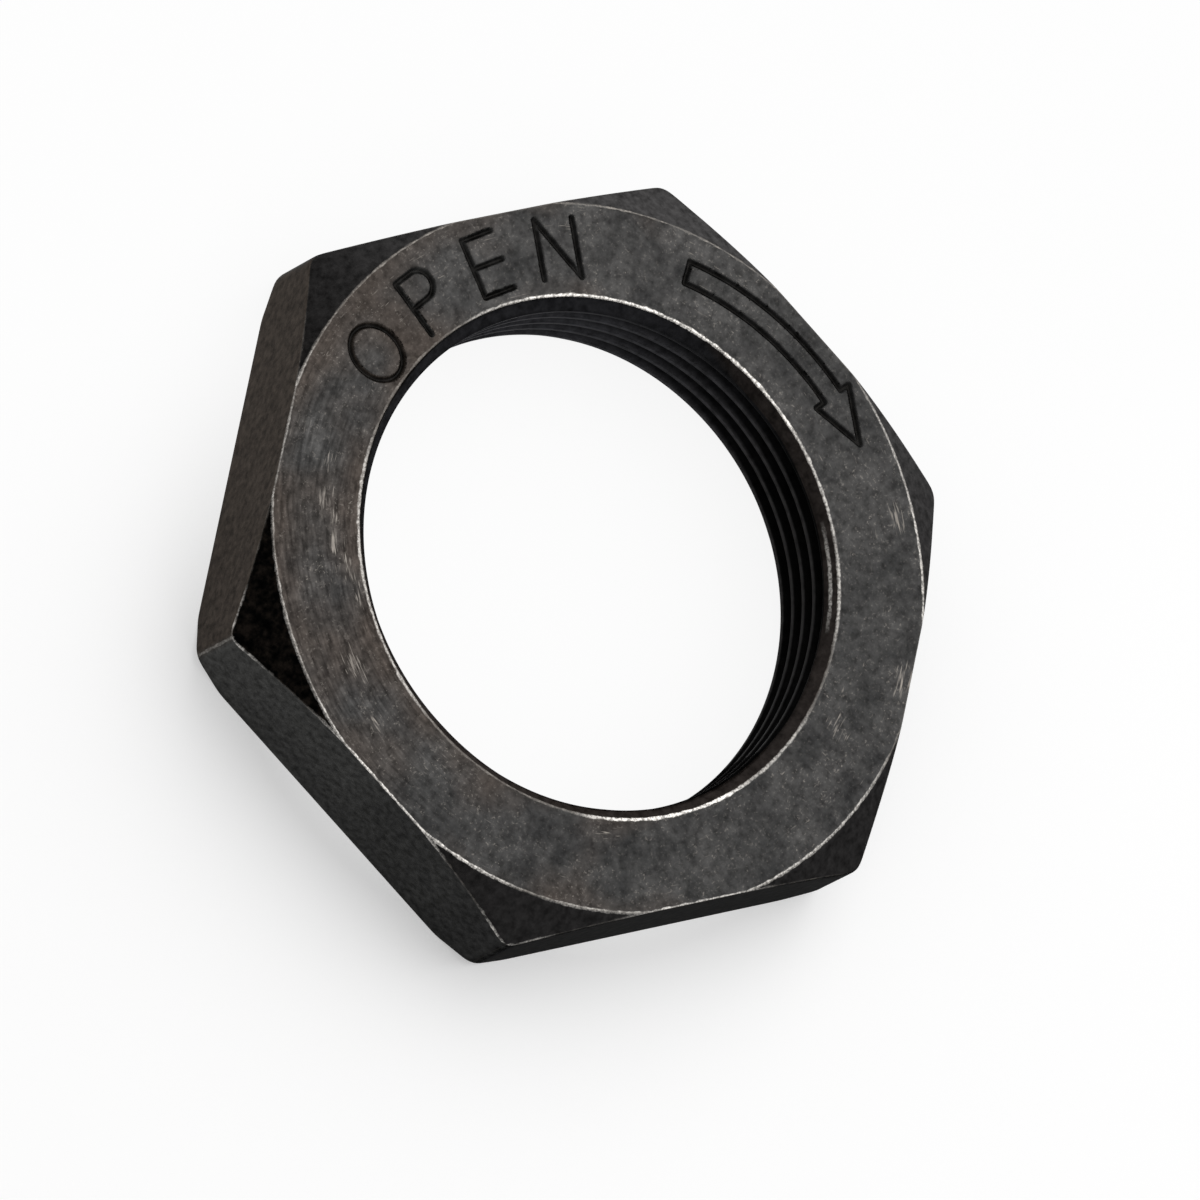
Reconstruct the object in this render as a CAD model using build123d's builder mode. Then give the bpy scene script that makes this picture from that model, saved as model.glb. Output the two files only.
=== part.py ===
from build123d import *
import os
from math import atan2, ceil, cos, degrees, hypot, radians, sin, tan

# A thin hexagon locknut with a left-hand thread, lying on its rear face.
# Lengths are millimetres, angles are degrees counterclockwise from +X.
# The rear face is at Z = 0 and the marked front face looks along +Z.

# Six-sided blank
sides = 6
across_flats = 47.0
thickness = 8.0
corner_radius = 1.2

# Turned chamfers: a wide one at the front, a narrow one at the rear
face_overlap = 0.3
front_chamfer_angle = 33.2
rear_chamfer_reach = 1.2
rear_chamfer_angle = 34.5

# M35 x 1.5 left-hand thread, with a cone at each end of the bore
thread_diameter = 35.0
thread_pitch = 1.5
thread_angle = 60.0
thread_start = 0.9  # height of a ridge's middle on the +X side, in pitches
mouth_relief = 0.05
front_mouth_depth = 0.45
rear_mouth_depth = 1.0
cutter_reach = 0.1
turn_joint_angle = 90.0

# Engraved grooves
groove_width = 0.5
groove_depth = 0.25

# The marks lie on a circle whose centre is a little off the bore's axis
mark_offset = 0.96
mark_offset_angle = -38.0
mark_lift = 0.2
mark_margin = 0.72

# Word: letter widths are between the middles of the grooves
word_middle_angle = 76.0
letter_step = 15.0
o_width = 3.4
p_width = 2.4
e_width = 2.3
n_width = 2.8

# Hollow arrow, pointing clockwise, the way that this nut comes off
arrow_tail_angle = 27.0
arrow_neck_angle = -9.0
arrow_tip_angle = -19.0
arrow_shank_width = 1.55
arrow_head_width = 3.05

# Sizes that follow from those above
flat_distance = across_flats / 2
half_side_angle = 180 / sides
corner_distance = (flat_distance - corner_radius) / cos(radians(half_side_angle)) + corner_radius
front_face_radius = flat_distance + face_overlap
rear_face_radius = corner_distance - rear_chamfer_reach
flank_angle = thread_angle / 2
thread_depth = 5 / 8 * thread_pitch / 2 / tan(radians(flank_angle))
minor_radius = thread_diameter / 2 - thread_depth
cutter_radius = minor_radius - cutter_reach
half_root_width = thread_pitch / 16
half_cutter_width = 3 / 8 * thread_pitch + cutter_reach * tan(radians(flank_angle))
first_turn = thread_start + 1 / 2 - turn_joint_angle / 360
turn_heights = [thread_pitch * (first_turn + turn) for turn in range(-2, ceil(thickness / thread_pitch) + 1)]
mouth_radius = thread_diameter / 2 + mouth_relief
turned_radius = corner_distance + corner_radius
front_chamfer_drop = (turned_radius - front_face_radius) * tan(radians(front_chamfer_angle))
rear_chamfer_rise = (turned_radius - rear_face_radius) * tan(radians(rear_chamfer_angle))
mark_radius = (flat_distance + mouth_radius) / 2 + mark_lift
letter_height = flat_distance - mouth_radius - groove_width - 2 * mark_margin
mark_centre_x = mark_offset * cos(radians(mark_offset_angle))
mark_centre_y = mark_offset * sin(radians(mark_offset_angle))


def on_mark_circle(radius, angle):
    # Point at a radius and angle about the marks' own centre
    return (radius * cos(radians(angle)), radius * sin(radians(angle)))


def letter_plane(place, letter_count):
    # Sketch plane of one letter: x along the reading direction, y outwards
    angle = word_middle_angle + ((letter_count - 1) / 2 - place) * letter_step
    x, y = on_mark_circle(mark_radius, angle)
    reading = (sin(radians(angle)), -cos(radians(angle)), 0)
    return Plane(origin=(mark_centre_x + x, mark_centre_y + y, thickness), x_dir=reading, z_dir=(0, 0, 1))


def groove(start, end):
    # Straight groove with round ends
    run_x = end[0] - start[0]
    run_y = end[1] - start[1]
    with Locations(((start[0] + end[0]) / 2, (start[1] + end[1]) / 2)):
        SlotCenterToCenter(hypot(run_x, run_y), groove_width, rotation=degrees(atan2(run_y, run_x)))


def letter_o():
    half_width, half_height = o_width / 2, letter_height / 2
    Ellipse(half_width + groove_width / 2, half_height + groove_width / 2)
    Ellipse(half_width - groove_width / 2, half_height - groove_width / 2, mode=Mode.SUBTRACT)


def letter_p():
    half_width, half_height = p_width / 2, letter_height / 2
    bowl_radius = letter_height / 4
    bend_x = half_width - bowl_radius
    groove((-half_width, -half_height), (-half_width, half_height))
    with BuildLine() as bowl:
        Line((-half_width, half_height), (bend_x, half_height))
        CenterArc((bend_x, bowl_radius), bowl_radius, 90, -180)
        Line((bend_x, 0), (-half_width, 0))
    trace(bowl.line, groove_width)


def letter_e():
    half_width, half_height = e_width / 2, letter_height / 2
    groove((-half_width, -half_height), (-half_width, half_height))
    for arm_y in (-half_height, 0, half_height):
        groove((-half_width, arm_y), (half_width, arm_y))


def letter_n():
    half_width, half_height = n_width / 2, letter_height / 2
    groove((-half_width, -half_height), (-half_width, half_height))
    groove((-half_width, half_height), (half_width, -half_height))
    groove((half_width, -half_height), (half_width, half_height))


# Hollow arrow's line: a shank that follows the mark circle, and a straight head
inner_radius = mark_radius - arrow_shank_width / 2
outer_radius = mark_radius + arrow_shank_width / 2
shank_angle = arrow_neck_angle - arrow_tail_angle
tail_inner = on_mark_circle(inner_radius, arrow_tail_angle)
tail_outer = on_mark_circle(outer_radius, arrow_tail_angle)
neck_inner = on_mark_circle(inner_radius, arrow_neck_angle)
neck_outer = on_mark_circle(outer_radius, arrow_neck_angle)
barb_inner = on_mark_circle(mark_radius - arrow_head_width / 2, arrow_neck_angle)
barb_outer = on_mark_circle(mark_radius + arrow_head_width / 2, arrow_neck_angle)
arrow_tip = on_mark_circle(mark_radius, arrow_tip_angle)

mark_plane = Plane(origin=(mark_centre_x, mark_centre_y, thickness), z_dir=(0, 0, 1))
with BuildSketch(mark_plane) as arrow_line:
    with BuildLine():
        CenterArc((0, 0), outer_radius, arrow_tail_angle, shank_angle)
        Polyline(neck_outer, barb_outer, arrow_tip, barb_inner, neck_inner)
        CenterArc((0, 0), inner_radius, arrow_neck_angle, -shank_angle)
        Line(tail_inner, tail_outer)
    make_face()

# One turn of the thread's groove, wider than the groove inside the bore's wall so that it cuts through
with BuildPart() as thread_turn:
    with BuildLine():
        Helix(thread_pitch, thread_pitch, minor_radius, lefthand=True)
    with BuildSketch(Plane.XZ):
        with BuildLine():
            Polyline(
                (cutter_radius, -half_cutter_width),
                (thread_diameter / 2, -half_root_width),
                (thread_diameter / 2, half_root_width),
                (cutter_radius, half_cutter_width),
                close=True,
            )
        make_face()
    sweep(is_frenet=True)

with BuildPart() as hex_locknut:
    # Hexagonal blank with its corners eased
    with BuildSketch():
        RegularPolygon(flat_distance, sides, major_radius=False, rotation=half_side_angle)
        fillet(vertices(), corner_radius)
    extrude(amount=thickness)

    # Everything turned about the axis: bore, both mouths, faces and chamfers
    with BuildSketch(Plane.XZ):
        with BuildLine():
            Polyline(
                (minor_radius, rear_mouth_depth),
                (mouth_radius, 0),
                (rear_face_radius, 0),
                (turned_radius, rear_chamfer_rise),
                (turned_radius, thickness - front_chamfer_drop),
                (front_face_radius, thickness),
                (mouth_radius, thickness),
                (minor_radius, thickness - front_mouth_depth),
                close=True,
            )
        make_face()
    revolve(axis=Axis.Z, mode=Mode.INTERSECT)

    # Thread, cut turn by turn from below the rear face to above the front face
    with Locations(*[Location((0, 0, height), (0, 0, turn_joint_angle)) for height in turn_heights]):
        add(thread_turn.part, mode=Mode.SUBTRACT)

    # Word in the front face
    word = (letter_o, letter_p, letter_e, letter_n)
    for place, letter in enumerate(word):
        with BuildSketch(letter_plane(place, len(word))):
            letter()
        extrude(amount=-groove_depth, mode=Mode.SUBTRACT)

    # Arrow in the front face
    with BuildSketch(mark_plane):
        offset(arrow_line.sketch_local, amount=groove_width / 2, kind=Kind.ARC)
        offset(arrow_line.sketch_local, amount=-groove_width / 2, kind=Kind.INTERSECTION, mode=Mode.SUBTRACT)
    extrude(amount=-groove_depth, mode=Mode.SUBTRACT)

hex_locknut.part.label = "hex_locknut"

os.makedirs("parts", exist_ok=True)
export_step(hex_locknut.part, "parts/hex_locknut.step")
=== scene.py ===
from math import cos, hypot, pi, radians, sin, tan
from types import SimpleNamespace
import bmesh
import bpy
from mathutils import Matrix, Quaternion, Vector
from mathutils.kdtree import KDTree


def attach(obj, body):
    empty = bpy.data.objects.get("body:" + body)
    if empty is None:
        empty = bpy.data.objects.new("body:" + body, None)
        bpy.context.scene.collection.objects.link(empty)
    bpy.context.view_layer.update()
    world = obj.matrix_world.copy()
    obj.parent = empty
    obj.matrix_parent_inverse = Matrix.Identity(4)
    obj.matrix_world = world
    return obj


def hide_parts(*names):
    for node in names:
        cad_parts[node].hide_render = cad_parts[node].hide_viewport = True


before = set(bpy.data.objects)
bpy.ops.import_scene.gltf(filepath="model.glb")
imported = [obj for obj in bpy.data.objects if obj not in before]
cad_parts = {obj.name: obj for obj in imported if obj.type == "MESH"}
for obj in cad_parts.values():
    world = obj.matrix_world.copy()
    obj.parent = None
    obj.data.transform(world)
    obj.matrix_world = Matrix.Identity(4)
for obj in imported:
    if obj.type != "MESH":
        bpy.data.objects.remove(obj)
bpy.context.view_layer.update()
mm = 0.001

# Thin hexagon locknut, lying on its rear face. Lengths are millimetres, angles are degrees
# counterclockwise from +X, seen from the marked front face.
nut = {
    "sides": 6,
    "acrossFlats": 47.0,
    "thickness": 8.0,
    "cornerRadius": 1.2,
    "faceRadius": 23.8,         # flat front face, out to the wide turned chamfer
    "frontSlope": tan(radians(33.2)),
    "rearFaceRadius": 25.75,
    "rearSlope": tan(radians(34.5)),
    "mouthRadius": 17.55,       # both ends of the bore
    "frontMouthDepth": 0.45,
    "rearMouthDepth": 1.0,
    "crestRadius": 16.688,      # M35 x 1.5, left-hand
    "pitch": 1.5,
    "threadDepth": 0.812,
    "threadStart": 0.9,         # height of a crest's middle at +X, in pitches
    "crestFlat": 1 / 4,         # flats of the thread's profile, in pitches
    "rootFlat": 1 / 8,
    "columns": 432,
    "crowding": 0.4,            # how much the columns crowd towards the corners
    "rows": {"rearFace": 7, "rearChamfer": 6, "flank": 9, "frontChamfer": 11, "frontFace": 28},
    "rimStrip": 0.15,           # the faces' rows end at least this far inside the flats
    "threadRows": 16,           # for each turn
    "threadTurns": 9,
    "weld": 0.0005,
    "easingTimes": 2,           # how often the sharp edges are eased,
    "easing": (0.04, 0.6),      # how strongly in the bore and outside it,
    "easingStep": (-0.03, -0.005), # and where it changes, from the mouth's radius
}
halfSide = pi / nut["sides"]  # half of a side's angle


def colour(hexText):
    # sRGB hex to the linear colour that Blender's sockets take
    parts = [int(hexText[i:i + 2], 16) / 255 for i in (1, 3, 5)]
    return [p / 12.92 if p <= 0.04045 else ((p + 0.055) / 1.055) ** 2.4 for p in parts] + [1.0]


def addObject(name, data):
    thing = bpy.data.objects.new(name, data)
    bpy.context.scene.collection.objects.link(thing)
    return thing


def addNode(tree, kind, inputs=(), **settings):
    # Adds one node: its settings, then a value or a link for each input, by name or in the order of
    # those in use. A node that is given as a value stands for its first output in use.
    node = tree.nodes.new(kind)
    for name, value in settings.items():
        setattr(node, name, value)
    if not isinstance(inputs, dict):
        inUse = [place for place, socket in enumerate(node.inputs) if socket.enabled]
        inputs = dict(zip(inUse, inputs))
    for key, value in inputs.items():
        if isinstance(value, bpy.types.Node):
            value = next(output for output in value.outputs if output.enabled)
        if isinstance(value, bpy.types.NodeSocket):
            tree.links.new(value, node.inputs[key])
        else:
            node.inputs[key].default_value = value
    return node


def combine(tree, operation, values):
    # Joins any number of values by one operation
    result, *others = values
    for value in others:
        result = addNode(tree, "ShaderNodeMath", [result, value], operation=operation)
    return result


def past(tree, value, limit):
    # How far a value is past a limit, and 0 before it
    gap = addNode(tree, "ShaderNodeMath", [value, limit], operation="SUBTRACT")
    return addNode(tree, "ShaderNodeMath", [gap, 0.0], operation="MAXIMUM")


def turnedSides(tree, length, angle):
    # How far a length at this angle reaches forward and sideways
    cosine = addNode(tree, "ShaderNodeMath", [angle], operation="COSINE")
    sine = addNode(tree, "ShaderNodeMath", [angle], operation="SINE")
    return [addNode(tree, "ShaderNodeMath", [length, part], operation="MULTIPLY") for part in (cosine, sine)]


def turnedHeights(tree, radius, sizes):
    # Heights of the front and the rear surface at a radius: flat out to where the chamfers start
    pastFace = past(tree, radius, sizes["faceRadius"])
    drop = addNode(tree, "ShaderNodeMath", [pastFace, sizes["frontSlope"]], operation="MULTIPLY")
    front = addNode(tree, "ShaderNodeMath", [sizes["thickness"], drop], operation="SUBTRACT")
    pastRear = past(tree, radius, sizes["rearFaceRadius"])
    rear = addNode(tree, "ShaderNodeMath", [pastRear, sizes["rearSlope"]], operation="MULTIPLY")
    return front, rear


# Camera: along the photograph's line of sight, rolled so that the nut lies in the picture the same way
view = {
    "sensor": 36,
    "lens": 780.53,             # a long lens, nearly parallel rays
    "aim": (-0.0733, -2.5646, 4.3884),
    "distance": 1696.16,
    "elevation": 58.992,
    "azimuth": 163.7725,
    "roll": 62.338,
}


def makeCamera():
    data = bpy.data.cameras.new("camera")
    data.lens = view["lens"]
    data.sensor_width = view["sensor"]
    camera = addObject("camera", data)
    up, around = radians(view["elevation"]), radians(view["azimuth"])
    outward = Vector((cos(up) * cos(around), cos(up) * sin(around), sin(up)))
    camera.location = (Vector(view["aim"]) + outward * view["distance"]) * mm
    turn = (-outward).to_track_quat("-Z", "Y") @ Quaternion((0, 0, 1), radians(view["roll"]))
    camera.rotation_euler = turn.to_euler()
    bpy.context.scene.camera = camera
    print("camera placed")


# Black-oxide steel: a thin black conversion coat on turned and milled steel. It looks dark grey and
# satin on the rubbed face, nearly black in the grooves and the chamfers, and bare steel on the sharp edges.
# Light and shade are painted into its colours too: the chamfers, flats and thread are lighter on one side,
# the chamfers nearly black at one corner, the thread's roots darker than its crests, one flat darker at a
# low angle, and stretches of the worn edges bright as highlights.
oxide = {
    "colours": {
        "faceDark": "#303030",
        "faceLight": "#4c4b4a",
        "faceBrown": "#443d38",
        "chamfer": "#292828",
        "chamferPaintedLight": "#454444", # painted light at one corner, and painted shade at another, which is also stained
        "chamferPaintedShade": "#080808",
        "chamferStain": "#1a1613",
        # The flats are painted lighter on one side, as if lit; one of them is brown and painted light as
        # well
        "flank": "#292929",
        "flankPaintedLight": "#40403f",
        "flankBrownPaintedLight": "#423c37",
        "groove": "#1e1d1c",
        # The cone is darker on the side where the thread is painted light
        "cone": "#2b2725",
        "coneDark": "#171514",
        # The thread's roots carry painted shade and its crests a painted highlight; their second tones are
        # painted light on one side
        "root": "#0c0c0c",
        "rootPaintedLight": "#232325",
        "crest": "#2b2a2a",
        "crestPaintedLight": "#37373a",
        "scratch": "#918b84",
        "dullSteel": "#8f8a84",
        # Bare steel on the worn edges; the brighter one is a painted highlight on some stretches
        "wornSteelHighlight": "#ebe7e1",
    },
    "bareRoughness": 0.36,
    "edgeTint": (0.5, 0.2),     # the less, the less the coat brightens at a low angle; last, on the flat that is painted into shade
    "crestReach": (0.07, 0.5),  # how far down a ridge its painted highlight goes, away from the painted light and in it
    "dents": 2.0,               # how much deeper the dents of handling are than the crystals
    "bumpStrength": 0.3,
    "bumpDepth": 0.02,
    # Noises: size in millimetres of what they draw, detail and roughness
    "noises": {
        "grain": (0.18, 2.0, 0.6),    # crystals of the coat; real ones are finer and wouldn't show
        "speckle": (0.56, 2.0, 0.6),  # salt and pepper that handling leaves
        "mottle": (2.2, 3.0, 0.55),   # rubbed patches
        "clouds": (6.0, 2.0, 0.5),    # brownish clouds in the coat
        "beads": (0.6, 3.0, 0.6),     # beads that a worn edge breaks into
    },
    # Marks of the lathe that run round the face: width, length, and detail
    "roundNoises": {
        "streaks": (0.24, 1.8, 2.0),
        "scratches": (0.12, 1.2, 1.0),  # the deepest of them, rubbed bright
    },
    # Angles round the nut: where light and shade are painted on the chamfers, flats and thread, where one
    # flat is brown and painted light, and where the face is browner, streaked or darker
    "turns": {
        "paintedShadeCorner": 150,
        "paintedLightCorner": 20,
        "brownPaintedLightFlat": 120,
        "paintedShadeFlat": 240,
        "paintedLightFlats": 130,
        "paintedLightOnThread": 70,
        "brownFace": 138,
        "streakedFace": 143,
        "darkFace": 235,
    },
    # How much these add to a mottle, a cloud or a scratch
    "weights": {
        "darkFace": -0.05,
        "brownFace": 0.4,
        "faceClouds": 1.5,
        "flankCloudsAndPaintedLight": 0.8,
        "rubbed": 0.34,
        "scratchMottle": 0.4,
        "ragged": 3.0,          # of a worn edge, in its half widths
    },
    # Ramps: what becomes 0 and what becomes 1, or, where two more are given, what becomes those
    "ramps": {
        "nearSurface": (0.05, 0.02),
        "insideRing": (0.03, -0.03),
        "inBore": (0.0, -0.06),
        "sunk": (0.04, 0.24),
        "faceLight": (0.27, 0.77),
        "nearRing": (-1.8, 0.0, 0.0, 0.2),
        "nearMouth": (1.8, 0.0, 0.0, 0.2),
        "faceBrown": (0.88, 1.36, 0.0, 0.8),
        "flankPaintedLight": (0.5, 1.35),
        "oneFlat": (0.86, 0.872),
        "chamferPaintedLight": (0.3, 1.0),
        "chamferPaintedShade": (0.6, 0.95),
        "stain": (0.4, 0.7),
        "threadPaintedLight": (0.0, 0.9),
        "pastCone": (0.7, 1.2),
        "grainTone": (0.3, 0.7, 0.9, 1.1),
        "speckleTone": (0.3, 0.7, 0.56, 1.44),
        "streakTone": (0.55, 0.95, 0.25, 2.0),
        "scratch": (0.94, 1.14, 0.0, 0.9),
        "salt": (0.6, 0.74, 0.0, 0.5),
        "saltPart": (0.42, 0.62, 0.25, 1.0),
        "speckleBreak": (0.36, 0.56, 1.0, 0.45),
        "grainBreak": (0.42, 0.6, 1.15, 0.6),
        "brightBeads": (0.42, 0.6, 1.0, 0.3),
        "dullLine": (1.25, 0.55),
        "brightLine": (1.7, 0.9),
        "roughness": (0.3, 0.7, 0.44, 0.56),
    },
    # The grooves are what is sunk this far from the mouth, from the face's rim and above this depth
    "grooveLimits": {"mouth": 0.12, "rim": 0.15, "depth": 1.0},
    "coneCircle": 0.5,          # the cone's worn line, inside the mouth's radius
    "cornerReach": 0.08,        # the corners' worn lines end this far inside the flats
    # Edges worn to the steel: half width in millimetres, how much dull steel shows, and the stretches
    # where the bare steel is painted bright as a highlight, each by its middle, half of its length in
    # degrees, and its strength
    "edges": {
        "faceRing": (0.075, 0.75, [
            (193, 10, 0.9), (168, 3, 0.6), (225, 10, 0.3), (262, 18, 0.5),
            (150, 10, 0.3), (120, 13, 0.35), (318, 12, 0.55), (338, 6, 0.4)]),
        "frontMouth": (0.1, 0.6, [
            (25, 38, 1.0), (240, 18, 1.0), (65, 6, 0.5), (270, 8, 0.4),
            (337, 12, 0.55), (312, 8, 0.4), (145, 28, 0.5)]),
        "frontRim": (0.08, 0.3, [
            (180, 10, 0.9), (240, 9, 0.6), (120, 6, 0.25), (150, 1, 0.6), (210, 1, 0.6)]),
        "cornerLine": (0.07, 0.06, [(150, 12, 0.16)]),
        "coneLine": (0.08, 0.0, [(315, 7, 0.5)]),
        "rearRim": (0.08, 0.4, []),
        "rearMouth": (0.11, 0.5, []),
    },
    "stretchFade": (6, 4),      # degrees outside and inside a highlight stretch's end
    # Rubbed spots on the front face: angle, radius, reach along the ring, reach across it, strength
    "rubbedSpots": [
        (120.3, 20.1, 0.9, 0.5, 0.8),
        (128.5, 20.3, 1.3, 0.35, 0.75),
        (134.5, 19.4, 2.6, 0.25, 0.85),
        (141.0, 18.6, 1.4, 0.25, 0.8),
        (147.0, 18.3, 2.4, 0.3, 0.8),
        (160.5, 20.2, 1.2, 0.6, 0.95),
        (171.0, 21.2, 0.9, 0.35, 0.7),
        (284.0, 19.7, 1.0, 0.8, 0.6),
        (299.0, 22.9, 1.3, 0.6, 0.9),
        (226.0, 18.6, 1.4, 0.4, 0.4),
        (48.0, 22.2, 0.6, 0.4, 0.7),
        (326.0, 22.4, 1.3, 0.5, 0.7),
        (352.0, 20.9, 0.8, 0.6, 0.6),
    ],
    "spotFade": (1.8, 0.2),     # in reaches, from its end to where it is whole
}
ramps = oxide["ramps"]
weights = oxide["weights"]


def newMaterial(name):
    material = bpy.data.materials.new(name)
    material.use_nodes = True
    material.node_tree.nodes.clear()
    return material, material.node_tree


def placeInMm(tree):
    coords = addNode(tree, "ShaderNodeTexCoord")
    return addNode(tree, "ShaderNodeVectorMath", [coords.outputs["Object"], 1 / mm], operation="SCALE")


def placeOnNut(tree):
    # Where a point of the nut is, in millimetres: about the axis, and by its gaps to the surfaces
    at = SimpleNamespace(place=placeInMm(tree))
    xyz = addNode(tree, "ShaderNodeSeparateXYZ", [at.place])
    at.height = xyz.outputs["Z"]
    at.level = addNode(tree, "ShaderNodeVectorMath", [at.place, (1, 1, 0)], operation="MULTIPLY")
    at.radius = addNode(tree, "ShaderNodeVectorMath", [at.level], operation="LENGTH")
    at.angle = addNode(tree, "ShaderNodeMath", [xyz.outputs["Y"], xyz.outputs["X"]], operation="ARCTAN2")
    front, rear = turnedHeights(tree, at.radius, nut)
    at.belowFront = addNode(tree, "ShaderNodeMath", [front, at.height], operation="SUBTRACT")
    at.aboveRear = addNode(tree, "ShaderNodeMath", [at.height, rear], operation="SUBTRACT")

    # Inside the flats and their rounded corners, and sideways from the nearest corner
    positiveAngle = addNode(tree, "ShaderNodeMath", [at.angle, 2 * pi], operation="ADD")
    fromFlat = addNode(tree, "ShaderNodeMath", [positiveAngle, halfSide], operation="PINGPONG")
    across, along = turnedSides(tree, at.radius, fromFlat)
    innerFlat = nut["acrossFlats"] / 2 - nut["cornerRadius"]
    fromCore = addNode(tree, "ShaderNodeCombineXYZ",
                       [past(tree, along, innerFlat * tan(halfSide)), past(tree, across, innerFlat), 0.0])
    coreReach = addNode(tree, "ShaderNodeVectorMath", [fromCore], operation="LENGTH")
    at.insideFlat = addNode(tree, "ShaderNodeMath", [nut["cornerRadius"], coreReach], operation="SUBTRACT")
    fromCorner = addNode(tree, "ShaderNodeMath", [halfSide, fromFlat], operation="SUBTRACT")
    at.cornerGap = addNode(tree, "ShaderNodeMath", [fromCorner, at.radius], operation="MULTIPLY")

    # Outside the circles, and off the front mouth's cone
    at.pastFace, at.pastMouth, at.pastCrest = [
        addNode(tree, "ShaderNodeMath", [at.radius, nut[circle]], operation="SUBTRACT")
        for circle in ("faceRadius", "mouthRadius", "crestRadius")]
    coneSlope = nut["frontMouthDepth"] / (nut["mouthRadius"] - nut["crestRadius"])
    offCone = addNode(tree, "ShaderNodeMath", [at.pastMouth, coneSlope, at.belowFront],
                      operation="MULTIPLY_ADD")
    at.coneGap = addNode(tree, "ShaderNodeMath", [offCone], operation="ABSOLUTE")
    return at


def makeNoises(tree, at):
    noises = {}
    for name, (size, detail, roughness) in oxide["noises"].items():
        noises[name] = addNode(tree, "ShaderNodeTexNoise", {
            "Vector": at.place, "Scale": 1 / size, "Detail": detail, "Roughness": roughness})
    away = addNode(tree, "ShaderNodeVectorMath", [at.level], operation="NORMALIZE")
    for name, (width, length, detail) in oxide["roundNoises"].items():
        ring = addNode(tree, "ShaderNodeVectorMath", [away, nut["faceRadius"] / length], operation="SCALE")
        across = addNode(tree, "ShaderNodeMath", [at.radius, 1 / width], operation="MULTIPLY")
        lift = addNode(tree, "ShaderNodeCombineXYZ", [0.0, 0.0, across])
        ringPlace = addNode(tree, "ShaderNodeVectorMath", [ring, lift], operation="ADD")
        noises[name] = addNode(tree, "ShaderNodeTexNoise", {
            "Vector": ringPlace, "Scale": 1.0, "Detail": detail})
    return SimpleNamespace(**noises)


def facing(tree, at, degreesRound):
    # 1 at this angle round the nut, and -1 on the far side
    turn = addNode(tree, "ShaderNodeMath", [at.angle, radians(degreesRound)], operation="SUBTRACT")
    return addNode(tree, "ShaderNodeMath", [turn], operation="COSINE")


def findSurface(tree, at):
    # Which surface a point is on: 1 there, and 0 elsewhere
    front, rear, cone = [addNode(tree, "ShaderNodeMapRange", [gap, *ramps["nearSurface"]])
                         for gap in (at.belowFront, at.aboveRear, at.coneGap)]
    insideRing = addNode(tree, "ShaderNodeMapRange", [at.pastFace, *ramps["insideRing"]])
    face = addNode(tree, "ShaderNodeMath", [front, insideRing], operation="MULTIPLY")
    bore = addNode(tree, "ShaderNodeMapRange", [at.pastMouth, *ramps["inBore"]])
    limits = oxide["grooveLimits"]
    inGroove = [addNode(tree, "ShaderNodeMapRange", [at.belowFront, *ramps["sunk"]])]
    for value, side, limit in (
            (at.pastMouth, "GREATER_THAN", limits["mouth"]), (at.insideFlat, "GREATER_THAN", limits["rim"]),
            (at.pastFace, "LESS_THAN", -limits["rim"]),
            (at.height, "GREATER_THAN", nut["thickness"] - limits["depth"])):
        inGroove.append(addNode(tree, "ShaderNodeMath", [value, limit], operation=side))
    groove = combine(tree, "MULTIPLY", inGroove)
    return SimpleNamespace(front=front, rear=rear, cone=cone, face=face, bore=bore, groove=groove)


def wearEdges(tree, at, noise):
    # Bare steel along the sharp edges: a broken, beaded line, dull in most places, and on some stretches
    # painted bright as a highlight. Returns how much dull steel and how much painted highlight shows.
    pastCircle = addNode(tree, "ShaderNodeMath", [at.pastMouth, oxide["coneCircle"]], operation="ADD")
    faceGap, mouthGap, circleGap = [
        addNode(tree, "ShaderNodeMath", [offset], operation="ABSOLUTE")
        for offset in (at.pastFace, at.pastMouth, pastCircle)]
    flatGap = addNode(tree, "ShaderNodeMath", [at.insideFlat, 0.0], operation="MAXIMUM")
    gaps = {
        "faceRing": [faceGap, at.belowFront],
        "frontMouth": [mouthGap, at.belowFront],
        "frontRim": [at.belowFront, flatGap],
        "cornerLine": [at.cornerGap, past(tree, at.insideFlat, oxide["cornerReach"])],
        "coneLine": [circleGap, at.coneGap],
        "rearRim": [at.aboveRear, flatGap],
        "rearMouth": [mouthGap, at.aboveRear],
    }
    ragged = addNode(tree, "ShaderNodeMath", [noise.beads, weights["ragged"], -weights["ragged"] / 2],
                     operation="MULTIPLY_ADD")
    speckleBreak, grainBreak, beads = [
        addNode(tree, "ShaderNodeMapRange", [source, *ramps[name]]) for source, name in (
            (noise.speckle, "speckleBreak"), (noise.grain, "grainBreak"), (noise.grain, "brightBeads"))]
    outerFade, innerFade = oxide["stretchFade"]
    dull, bright = [], []
    for edge, (width, dullShare, stretches) in oxide["edges"].items():
        gap = addNode(tree, "ShaderNodeMath", gaps[edge], operation="ADD")
        share = addNode(tree, "ShaderNodeMath", [gap, width], operation="DIVIDE")
        raggedShare = addNode(tree, "ShaderNodeMath", [share, ragged], operation="ADD")
        dullLine = addNode(tree, "ShaderNodeMapRange", [raggedShare, *ramps["dullLine"]])
        dull.append(combine(tree, "MULTIPLY", [dullLine, speckleBreak, grainBreak, dullShare]))
        brightLine = addNode(tree, "ShaderNodeMapRange", [raggedShare, *ramps["brightLine"]])
        for middle, half, strength in stretches:
            ends = cos(radians(half + outerFade)), cos(radians(max(half - innerFade, 0)))
            stretch = addNode(tree, "ShaderNodeMapRange", [facing(tree, at, middle), *ends, 0.0, strength])
            bright.append(combine(tree, "MULTIPLY", [brightLine, beads, stretch]))
    return combine(tree, "MAXIMUM", dull), combine(tree, "MAXIMUM", bright)


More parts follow.
